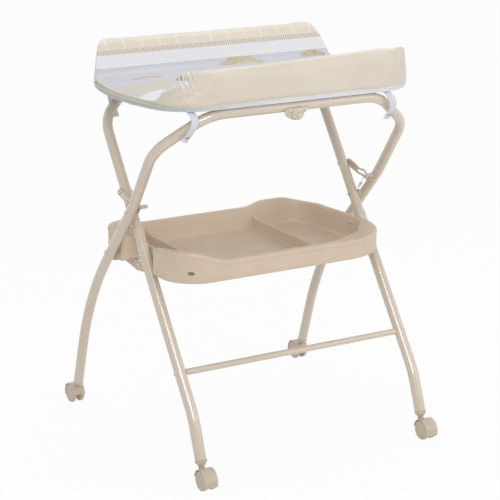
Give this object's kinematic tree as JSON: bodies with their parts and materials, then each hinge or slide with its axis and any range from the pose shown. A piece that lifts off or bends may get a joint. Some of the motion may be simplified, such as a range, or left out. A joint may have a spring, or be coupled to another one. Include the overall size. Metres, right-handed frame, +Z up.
{
  "type": "folding changing table",
  "caption": "Folding baby changing table: padded mat on crossed tube frames with swivel casters and a divided storage tray.",
  "frame": {"origin": "on the floor, at the middle of the caster footprint", "axes": "+X along the table towards the side with the straight tray end, +Y from the front top bar towards the back top bar, +Z up"},
  "size_m": [0.756, 0.7482, 0.9986],
  "materials": {
    "paint": "smooth semi-gloss",
    "tray_plastic": "satin moulded",
    "plastic": "satin moulded",
    "board": "matte",
    "cover": "wipe-clean coated cloth over padding",
    "webbing": "woven tape",
    "steel": "zinc plated"
  },
  "bodies": {
    "front_frame": {"front_top_tube": "paint", "crossbar": "paint", "front_leg_left": "paint", "front_leg_right": "paint", "leg_plug_front_left": "plastic", "leg_plug_front_right": "plastic", "crossbar_bolt_left": "steel", "crossbar_bolt_right": "steel", "pivot_bolt_left": "steel", "pivot_bolt_right": "steel", "pivot_spacer_left": "plastic", "pivot_spacer_right": "plastic", "stay_bolt_left": "steel", "stay_bolt_right": "steel", "tray_bolt_left": "steel", "tray_bolt_right": "steel", "lock_spring_left": "steel", "lock_spring_right": "steel"},
    "rear_frame": {"rear_frame_tube": "paint", "catch_plate": "paint", "catch_knob": "plastic", "leg_plug_rear_left": "plastic", "leg_plug_rear_right": "plastic", "stay_pin_left": "steel", "stay_pin_right": "steel", "tray_hook_pin_left": "steel", "tray_hook_pin_right": "steel", "catch_screw_left": "steel", "catch_screw_right": "steel"},
    "tray": {"storage_tray": "tray_plastic"},
    "changing_top": {"changing_board": "board", "changing_mat": "cover", "board_clip_left": "paint", "board_clip_right": "paint", "strap_front_left": "webbing", "strap_front_right": "webbing", "strap_rear_left": "webbing", "strap_rear_right": "webbing", "strap_stud_front_left": "steel", "strap_stud_front_right": "steel", "strap_stud_rear_left": "steel", "strap_stud_rear_right": "steel"},
    "lock_stay_left": {"lock_stay_left": "paint"},
    "lock_stay_right": {"lock_stay_right": "paint"},
    "caster_front_left": {"caster_hood_front_left": "plastic", "caster_axle_front_left": "steel"},
    "wheel_front_left_inner": {"wheel_front_left_inner": "plastic"},
    "wheel_front_left_outer": {"wheel_front_left_outer": "plastic"},
    "caster_front_right": {"caster_hood_front_right": "plastic", "caster_axle_front_right": "steel"},
    "wheel_front_right_inner": {"wheel_front_right_inner": "plastic"},
    "wheel_front_right_outer": {"wheel_front_right_outer": "plastic"},
    "caster_rear_left": {"caster_hood_rear_left": "plastic", "caster_axle_rear_left": "steel"},
    "wheel_rear_left_inner": {"wheel_rear_left_inner": "plastic"},
    "wheel_rear_left_outer": {"wheel_rear_left_outer": "plastic"},
    "caster_rear_right": {"caster_hood_rear_right": "plastic", "caster_axle_rear_right": "steel"},
    "wheel_rear_right_inner": {"wheel_rear_right_inner": "plastic"},
    "wheel_rear_right_outer": {"wheel_rear_right_outer": "plastic"}
  },
  "joints": [
    {"name": "fold", "type": "hinge", "parent": "front_frame", "child": "rear_frame", "pos_m": [0, 0.01234, 0.573], "axis": [-1, 0, 0], "range_deg": [0, 45], "deforming": ["lock_spring_left", "lock_spring_right"]},
    {"name": "tray_tilt", "type": "hinge", "parent": "front_frame", "child": "tray", "pos_m": [0, -0.03447, 0.508], "axis": [-1, 0, 0], "range_deg": [0, 28.5]},
    {"name": "top_lift", "type": "hinge", "parent": "front_frame", "child": "changing_top", "pos_m": [0, 0.23487, 0.882], "axis": [-1, 0, 0], "range_deg": [0, 24]},
    {"name": "stay_left", "type": "hinge", "parent": "front_frame", "child": "lock_stay_left", "pos_m": [-0.339, 0.06494, 0.64603], "axis": [-1, 0, 0], "range_deg": [0, 4.9]},
    {"name": "stay_right", "type": "hinge", "parent": "front_frame", "child": "lock_stay_right", "pos_m": [0.339, 0.06494, 0.64603], "axis": [-1, 0, 0], "range_deg": [0, 4.9]},
    {"name": "swivel_front_left", "type": "hinge", "parent": "front_frame", "child": "caster_front_left", "pos_m": [-0.321, -0.32351, 0.058], "axis": [0, 0, 1], "continuous": true},
    {"name": "roll_front_left_inner", "type": "hinge", "parent": "caster_front_left", "child": "wheel_front_left_inner", "pos_m": [-0.31, -0.34551, 0.025], "axis": [1, 0, 0], "continuous": true},
    {"name": "roll_front_left_outer", "type": "hinge", "parent": "caster_front_left", "child": "wheel_front_left_outer", "pos_m": [-0.332, -0.34551, 0.025], "axis": [1, 0, 0], "continuous": true},
    {"name": "swivel_front_right", "type": "hinge", "parent": "front_frame", "child": "caster_front_right", "pos_m": [0.321, -0.32351, 0.058], "axis": [0, 0, 1], "continuous": true},
    {"name": "roll_front_right_inner", "type": "hinge", "parent": "caster_front_right", "child": "wheel_front_right_inner", "pos_m": [0.31, -0.34551, 0.025], "axis": [1, 0, 0], "continuous": true},
    {"name": "roll_front_right_outer", "type": "hinge", "parent": "caster_front_right", "child": "wheel_front_right_outer", "pos_m": [0.332, -0.34551, 0.025], "axis": [1, 0, 0], "continuous": true},
    {"name": "swivel_rear_left", "type": "hinge", "parent": "rear_frame", "child": "caster_rear_left", "pos_m": [-0.356, 0.32351, 0.058], "axis": [0, 0, 1], "continuous": true},
    {"name": "roll_rear_left_inner", "type": "hinge", "parent": "caster_rear_left", "child": "wheel_rear_left_inner", "pos_m": [-0.345, 0.34551, 0.025], "axis": [1, 0, 0], "continuous": true},
    {"name": "roll_rear_left_outer", "type": "hinge", "parent": "caster_rear_left", "child": "wheel_rear_left_outer", "pos_m": [-0.367, 0.34551, 0.025], "axis": [1, 0, 0], "continuous": true},
    {"name": "swivel_rear_right", "type": "hinge", "parent": "rear_frame", "child": "caster_rear_right", "pos_m": [0.356, 0.32351, 0.058], "axis": [0, 0, 1], "continuous": true},
    {"name": "roll_rear_right_inner", "type": "hinge", "parent": "caster_rear_right", "child": "wheel_rear_right_inner", "pos_m": [0.345, 0.34551, 0.025], "axis": [1, 0, 0], "continuous": true},
    {"name": "roll_rear_right_outer", "type": "hinge", "parent": "caster_rear_right", "child": "wheel_rear_right_outer", "pos_m": [0.367, 0.34551, 0.025], "axis": [1, 0, 0], "continuous": true}
  ],
  "couplings": [
    {"joint": "tray_tilt", "follows": "fold", "ratio": 0.62},
    {"joint": "top_lift", "follows": "fold", "ratio": 0.525},
    {"joint": "stay_left", "follows": "fold", "ratio": 0.106},
    {"joint": "stay_right", "follows": "fold", "ratio": 0.106}
  ]
}
